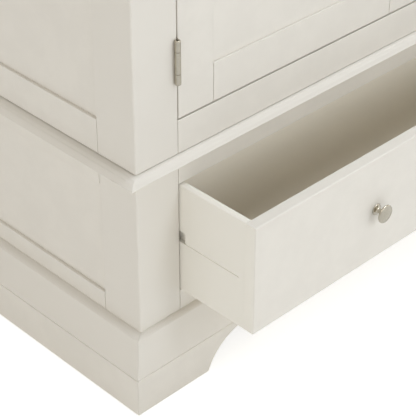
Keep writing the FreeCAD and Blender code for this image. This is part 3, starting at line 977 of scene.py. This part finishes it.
class ARMOIRE_OT_hinges(bpy.types.Operator):
    """Make the butt hinges: knuckles, leaves, pins and screw heads"""
    bl_idname = "armoire.hinges"
    bl_label = "Hinges"

    def execute(self, context):
        axis = Vector(self.joint("left_door_hinge")["pos_m"])
        pin_low, pin_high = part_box("hinge_pins")
        door_low, door_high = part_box("left_door_hinge_stile")
        length, end_gap = 64 * MM, 54 * MM
        low = door_low.z + end_gap
        high = door_high.z - end_gap - length
        post = self.post_leaf(axis, low, length)
        door = self.door_leaf(axis, low, length)
        pin = self.pin(axis, low, length)
        for number, level in enumerate((low, (low + high) / 2, high), 1):
            rise = Vector((0, 0, level - low))
            for piece, word, nodes, bodies in (
                    (post, "post_leaf", ["hinge_post_leaves"] * 2, ["carcase"] * 2),
                    (door, "door_leaf", ["left_door_hinge_leaves", "right_door_hinge_leaves"],
                     ["left_door", "right_door"]),
                    (pin, "pin", ["hinge_pins"] * 2, ["carcase"] * 2)):
                left = shifted(piece, f"left_hinge_{number}_{word}", rise)
                right = mirrored(left, f"right_hinge_{number}_{word}")
                for twin, node, body in zip((left, right), nodes, bodies):
                    smooth(twin, 40)
                    done(twin, body, [node], "Satin nickel", "Z")
        for piece in (post, door, pin):
            bpy.data.objects.remove(piece)
        return {"FINISHED"}

    def joint(self, name):
        return next(j for j in frame["joints"] if j["name"] == name)

    radius = 4.2 * MM
    outer = 16 * MM         # length of a top or bottom knuckle
    plate = 0.9 * MM
    plate_depth = 18 * MM
    running = 0.3 * MM

    def knuckle(self, name, axis, low, high, rounded):
        """A barrel knuckle; rounded tells which ends are domed."""
        piece = rod(name, self.radius, (axis.x, axis.y, low), (axis.x, axis.y, high), sides=48)
        for level, domed in ((low, rounded[0]), (high, rounded[1])):
            round_edges(piece, lambda p: abs(p.z - level) < 0.05 * MM,
                        1.5 * MM if domed else 0.35 * MM, 4 if domed else 2)
        return piece

    def leaf(self, name, x, axis, low, length, tabs, screw_side):
        """A plate in the gap with tabs out to its knuckles, and three screw heads."""
        pieces = [block(name, (x, FRONT, low), (x + self.plate, FRONT + self.plate_depth,
                                                low + length))]
        for tab_low, tab_high in tabs:
            pieces.append(block(name + "_tab", (x, axis.y, tab_low),
                                (x + self.plate, FRONT, tab_high)))
        face = x + self.plate if screw_side > 0 else x
        for share in (0.18, 0.5, 0.82):
            y = FRONT + self.plate_depth * (0.68 if share == 0.5 else 0.45)
            centre = Vector((face + screw_side * 0.04 * MM, y, low + length * share))
            pieces.append(screw_head(name + "_screw", centre, (screw_side, 0, 0)))
        return pieces

    def post_leaf(self, axis, low, length):
        ends = ((low, low + self.outer), (low + length - self.outer, low + length))
        pieces = self.leaf("post_leaf", -OPENING, axis, low, length, ends, 1)
        pieces.append(self.knuckle("knuckle_low", axis, *ends[0], (True, False)))
        pieces.append(self.knuckle("knuckle_high", axis, *ends[1], (False, True)))
        return joined(pieces)

    def door_leaf(self, axis, low, length):
        door_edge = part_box("left_door_hinge_stile")[0].x
        middle = (low + self.outer + self.running, low + length - self.outer - self.running)
        pieces = self.leaf("door_leaf", door_edge - self.plate, axis, low, length,
                           (middle,), -1)
        pieces.append(self.knuckle("knuckle_middle", axis, *middle, (False, False)))
        return joined(pieces)

    def pin(self, axis, low, length):
        piece = rod("pin", 2 * MM, (axis.x, axis.y, low), (axis.x, axis.y, low + length), 24)
        ease(piece, 0.3 * MM, sharper_than=60)
        return piece


class ARMOIRE_OT_fittings(bpy.types.Operator):
    """Make the hanging rail, its sockets, the catches and their strikes"""
    bl_idname = "armoire.fittings"
    bl_label = "Fittings"

    def execute(self, context):
        self.rail()
        self.catches()
        return {"FINISHED"}

    def rail(self):
        low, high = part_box("hanging_rail")
        y, z = (low.y + high.y) / 2, (low.z + high.z) / 2
        radius = (high.z - low.z) / 2
        bar = rod("hanging_rail_tube", radius, (low.x, y, z), (high.x, y, z), sides=64)
        ease(bar, 0.4 * MM, sharper_than=60)
        smooth(bar, 40)
        done(bar, "carcase", ["hanging_rail"], "Polished rail", "X")

        low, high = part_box("rail_sockets")
        outer = (high.z - low.z) / 2
        wall, depth = 2 * MM, 14 * MM
        fit = radius + 0.05 * MM
        profile = [(0, 0), (outer, 0), (outer, 2.2 * MM), (outer - 1 * MM, 3.2 * MM),
                   (fit + 3.5 * MM, 4.2 * MM), (fit + 2.6 * MM, depth - 0.6 * MM),
                   (fit + 2.0 * MM, depth), (fit, depth), (fit, wall), (0, wall)]
        left = turned("rail_socket_left", profile, (low.x, y, z), (1, 0, 0), steps=48)
        heads = []
        for angle in (90, 210, 330):
            offset = Vector((0, math.cos(math.radians(angle)), math.sin(math.radians(angle))))
            place = Vector((low.x + 2.75 * MM, y, z)) + offset * (outer - 2.6 * MM)
            heads.append(screw_head("socket_screw", place, (1, 0, 0), 1.8 * MM))
        left = joined([left] + heads)
        right = mirrored(left, "rail_socket_right")
        for piece in (left, right):
            smooth(piece, 35)
            done(piece, "carcase", ["rail_sockets"], "Polished rail", "X")

    def catches(self):
        low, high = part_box("magnetic_catches")
        width, pole = 45 * MM, 2 * MM
        case = block("magnetic_catch_left", low, (low.x + width, high.y, high.z))
        ease(case, 1.2 * MM, segments=3)
        poles = [block("pole", (low.x + width / 2 + x - pole / 2, low.y - 0.3 * MM,
                                low.z + 2 * MM),
                       (low.x + width / 2 + x + pole / 2, low.y + 2 * MM, high.z - 3 * MM))
                 for x in (-8 * MM, 8 * MM)]
        right = mirrored(case, "magnetic_catch_right")
        for piece in (case, right):
            smooth(piece)
            done(piece, "carcase", ["magnetic_catches"], "Cream plastic", "X")
        poles = joined(poles)
        poles.name = "catch_poles_left"
        twins = mirrored(poles, "catch_poles_right")
        for piece in (poles, twins):
            ease(piece, 0.2 * MM)
            done(piece, "carcase", [], "Satin nickel", "Z")

        door_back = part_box("left_door_meeting_stile")[1].y
        middle = low.x + width / 2
        strike = block("left_door_strike", (middle - 19 * MM, door_back, low.z - 1 * MM),
                       (middle + 19 * MM, door_back + 1.0 * MM, high.z - 1 * MM))
        ease(strike, 0.4 * MM)
        strike = joined([strike, screw_head(
            "strike_screw", (middle, door_back + 1.05 * MM, low.z + 6 * MM), (0, 1, 0))])
        twin = mirrored(strike, "right_door_strike")
        for piece, body in ((strike, "left_door"), (twin, "right_door")):
            smooth(piece, 35)
            done(piece, body, [], "Satin nickel", "X")


# ---------------------------------------------------------------- floor, lights and camera
class ARMOIRE_OT_stage(bpy.types.Operator):
    """Lay the floor and set the lights and the camera"""
    bl_idname = "armoire.stage"
    bl_label = "Stage"

    def execute(self, context):
        stage = context.scene.armoire_stage
        self.floor(stage)
        self.sky(context.scene, stage)
        low_front = (-0.2, FRONT, 0.35)
        drawer_floor = (0.0, FRONT + 0.24, 0.18)
        above_front, above_right, above = (0.17, -1.0, 0.66), (0.38, -0.08, 0.92), (0.0, 0.1, 1.0)
        self.lamp("Key", stage.key_power, stage.key_size, low_front, above_front, 5.5)
        self.lamp("Overhead", stage.top_power, (4.0, 3.0), low_front, above_right, 8.0)
        self.lamp("Drawer fill", stage.fill_power, (0.9, 0.06), drawer_floor, above, 0.15,
                  spread=100)
        self.camera(context.scene, stage)
        context.scene.view_settings.view_transform = "Standard"
        return {"FINISHED"}

    def floor(self, stage):
        bpy.ops.object.select_all(action="DESELECT")
        bpy.ops.mesh.primitive_plane_add(size=80, location=(0, 0, -0.5 * MM))
        floor = bpy.context.object
        floor.name = "floor"
        material, tree, shader, _ = start_material("Pale floor", Roughness=0.9,
                                                   Specular_IOR_Level=0.0)
        shader.inputs["Base Color"].default_value = (0.80, 0.80, 0.785, 1)
        shader.inputs["Emission Strength"].default_value = 1.0
        seen = add(tree.nodes, "ShaderNodeLightPath")
        glow = remap(tree, seen.outputs["Is Camera Ray"], stage.floor_glow,
                     stage.floor_glow + 0.50)
        tree.links.new(glow, shader.inputs["Emission Color"])
        floor.data.materials.append(material)

    def sky(self, scene, stage):
        """A pale room, brighter low down and to the left; metal reflects panes and corners."""
        world = bpy.data.worlds.new("Studio")
        scene.world = world
        world.use_nodes = True
        tree = world.node_tree
        background = tree.nodes["Background"]
        direction = add(tree.nodes, "ShaderNodeTexCoord")
        panes = add(tree.nodes, "ShaderNodeTexNoise", Scale=3.2, Detail=1.0)
        tree.links.new(direction.outputs["Generated"], panes.inputs["Vector"])
        contrast = add(tree.nodes, "ShaderNodeMapRange", interpolation_type="SMOOTHSTEP",
                       From_Min=0.40, From_Max=0.60, To_Min=0.25, To_Max=1.9)
        tree.links.new(panes.outputs["Fac"], contrast.inputs["Value"])
        ray = add(tree.nodes, "ShaderNodeLightPath")
        level = add(tree.nodes, "ShaderNodeMix", data_type="FLOAT")
        tree.links.new(ray.outputs["Is Glossy Ray"], level.inputs[0])
        height = add(tree.nodes, "ShaderNodeSeparateXYZ")
        tree.links.new(direction.outputs["Generated"], height.inputs["Vector"])
        falling = add(tree.nodes, "ShaderNodeMapRange", interpolation_type="SMOOTHSTEP",
                      From_Min=0.45, From_Max=0.72, To_Min=stage.sky, To_Max=stage.ceiling)
        tree.links.new(height.outputs["Z"], falling.inputs["Value"])
        windows = add(tree.nodes, "ShaderNodeMapRange", From_Min=-1.0, From_Max=1.0,
                      To_Min=1.18, To_Max=0.78)
        tree.links.new(height.outputs["X"], windows.inputs["Value"])
        lit = add(tree.nodes, "ShaderNodeMath", operation="MULTIPLY")
        tree.links.new(falling.outputs["Result"], lit.inputs[0])
        tree.links.new(windows.outputs["Result"], lit.inputs[1])
        tree.links.new(lit.outputs[0], level.inputs[2])
        tree.links.new(contrast.outputs["Result"], level.inputs[3])
        seen = add(tree.nodes, "ShaderNodeMix", data_type="FLOAT")
        tree.links.new(ray.outputs["Is Camera Ray"], seen.inputs[0])
        tree.links.new(level.outputs[0], seen.inputs[2])
        seen.inputs[3].default_value = 0.97
        tree.links.new(seen.outputs[0], background.inputs["Strength"])
        background.inputs["Color"].default_value = (1.0, 0.972, 0.930, 1)

    def lamp(self, name, power, size, aim, towards, distance, spread=180):
        """A soft rectangular box that shines on its aim from a direction."""
        light = bpy.data.lights.new(name, "AREA")
        light.shape = "RECTANGLE"
        light.energy, light.size, light.size_y = power, *size
        light.color = (0.93, 1.0, 1.10)
        light.spread = math.radians(spread)
        lamp = bpy.data.objects.new(name, light)
        bpy.context.scene.collection.objects.link(lamp)
        lamp.location = Vector(aim) + Vector(towards).normalized() * distance
        lamp.rotation_euler = Vector(towards).to_track_quat("Z", "Y").to_euler()
        lamp.visible_camera = False

    def camera(self, scene, stage):
        """Close on the lower left corner, from the front left and above."""
        camera = bpy.data.cameras.new("Camera")
        camera.sensor_width = 36
        camera.lens = stage.lens / MM
        seat = bpy.data.objects.new("Camera", camera)
        scene.collection.objects.link(seat)
        seat.location = PLINTH_LOW + Vector((-1.0193, -1.1864, 1.4438))
        seat.rotation_euler = (math.radians(90 - 34.76), 0, math.radians(-44.27))
        scene.camera = seat


# ---------------------------------------------------------------- the panel and the order
STEPS = (ARMOIRE_OT_finishes, ARMOIRE_OT_case, ARMOIRE_OT_back, ARMOIRE_OT_plinth,
         ARMOIRE_OT_waist, ARMOIRE_OT_cornice, ARMOIRE_OT_doors, ARMOIRE_OT_drawer,
         ARMOIRE_OT_knobs, ARMOIRE_OT_hinges, ARMOIRE_OT_fittings, ARMOIRE_OT_stage)
GROUPS = {"armoire_timber": ArmoireTimber, "armoire_paint": ArmoirePaint,
          "armoire_metal": ArmoireMetal, "armoire_stage": ArmoireStage}


class ARMOIRE_PT_pieces(bpy.types.Panel):
    """The armoire's values and the operators that make its pieces"""
    bl_idname = "ARMOIRE_PT_pieces"
    bl_label = "Armoire"
    bl_space_type = "VIEW_3D"
    bl_region_type = "UI"
    bl_category = "Armoire"

    def draw(self, context):
        for name, group in GROUPS.items():
            box = self.layout.box()
            for prop in group.__annotations__:
                box.prop(getattr(context.scene, name), prop)
        for step in STEPS:
            self.layout.operator(step.bl_idname)


CLASSES = tuple(GROUPS.values()) + STEPS + (ARMOIRE_PT_pieces,)


def register():
    for each in CLASSES:
        bpy.utils.register_class(each)
    for name, group in GROUPS.items():
        setattr(bpy.types.Scene, name, bpy.props.PointerProperty(type=group))


def unregister():
    for name in GROUPS:
        delattr(bpy.types.Scene, name)
    for each in reversed(CLASSES):
        bpy.utils.unregister_class(each)


def main():
    register()
    for step in STEPS:
        getattr(bpy.ops.armoire, step.bl_idname.split(".")[1])()


if __name__ == "__main__":
    main()
